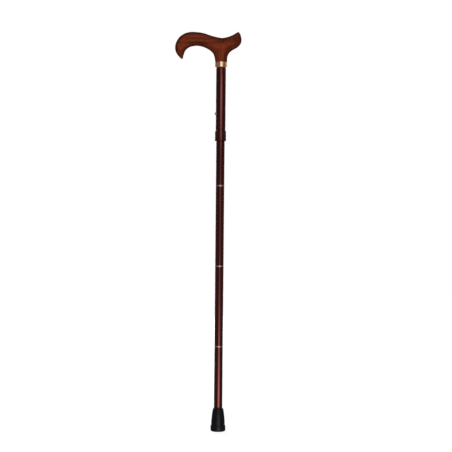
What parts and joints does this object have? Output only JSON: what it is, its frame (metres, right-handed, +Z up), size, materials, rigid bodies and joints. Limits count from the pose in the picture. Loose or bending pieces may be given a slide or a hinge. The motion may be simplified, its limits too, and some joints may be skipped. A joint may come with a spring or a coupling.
{
  "type": "folding walking cane",
  "caption": "Folding walking cane with a carved derby handle, push-button height setting, ring-nut lock, cord-held tube sections and a rubber foot.",
  "frame": {"origin": "centre of the rubber foot's flat base, on the tubes' centre line", "axes": "+Z up along the tubes, -X towards the handle's nose, -Y towards the viewer of the picture"},
  "size_m": [0.1285, 0.029, 0.7746],
  "materials": {
    "rubber": "matte moulded rubber",
    "steel": "zinc plated",
    "tube": "dark bordeaux satin metallic",
    "upper_tube": "dark bordeaux satin metallic",
    "collar": "dark bordeaux satin metallic",
    "alloy": "turned",
    "ring_gold": "polished",
    "band_gold": "polished",
    "button_brass": "polished",
    "nylon": "moulded nylon",
    "cord": "braided elastic",
    "plug_wood": "turned beech",
    "wood": "reddish brown stain under satin lacquer"
  },
  "bodies": {
    "tip_section": {"rubber_tip": "rubber", "tip_washer": "steel", "tip_tube": "tube", "cord_bottom_anchor": "nylon", "elastic_cord": "cord", "ferrule_3": "alloy", "lower_ring_3": "ring_gold"},
    "section_3": {"section_3_tube": "tube", "upper_ring_3": "ring_gold", "ferrule_2": "alloy", "lower_ring_2": "ring_gold"},
    "section_2": {"section_2_tube": "tube", "upper_ring_2": "ring_gold", "ferrule_1": "alloy", "lower_ring_1": "ring_gold"},
    "adjuster": {"adjuster_tube": "tube", "upper_ring_1": "ring_gold", "cord_top_anchor": "nylon", "glide_bush": "nylon"},
    "button": {"snap_button": "button_brass"},
    "upper": {"upper_tube": "upper_tube", "handle_collar": "band_gold", "handle_plug": "plug_wood", "handle_screw": "steel", "handle": "wood"},
    "collet": {"collet_bush": "nylon"},
    "lock_ring": {"lock_collar": "collar"}
  },
  "joints": [
    {"name": "pull_3", "type": "slide", "parent": "tip_section", "child": "section_3", "axis": [0, 0, 1], "range_m": [0, 0.04], "stiffness_N_per_m": 300, "springref_m": -0.05, "deforming": ["elastic_cord"]},
    {"name": "pull_2", "type": "slide", "parent": "section_3", "child": "section_2", "axis": [0, 0, 1], "range_m": [0, 0.04], "stiffness_N_per_m": 300, "springref_m": -0.05, "deforming": ["elastic_cord"]},
    {"name": "pull_1", "type": "slide", "parent": "section_2", "child": "adjuster", "axis": [0, 0, 1], "range_m": [0, 0.04], "stiffness_N_per_m": 300, "springref_m": -0.05, "deforming": ["elastic_cord"]},
    {"name": "height_slide", "type": "slide", "parent": "adjuster", "child": "upper", "axis": [0, 0, 1], "range_m": [-0.0508, 0.0254]},
    {"name": "button_press", "type": "slide", "parent": "adjuster", "child": "button", "axis": [0.9659, 0.2588, 0], "range_m": [0, 0.0045], "stiffness_N_per_m": 1200, "springref_m": -0.002, "deforming": ["snap_button"]},
    {"name": "collar_creep", "type": "slide", "parent": "upper", "child": "collet", "axis": [0, 0, -1], "range_m": [0, 0.001]},
    {"name": "collar_turn", "type": "hinge", "parent": "collet", "child": "lock_ring", "pos_m": [0, 0, 0.572], "axis": [0, 0, 1], "range_deg": [0, 361]}
  ],
  "couplings": [
    {"joint": "collar_turn", "follows": "collar_creep", "rad_per_m": 6283.2}
  ]
}
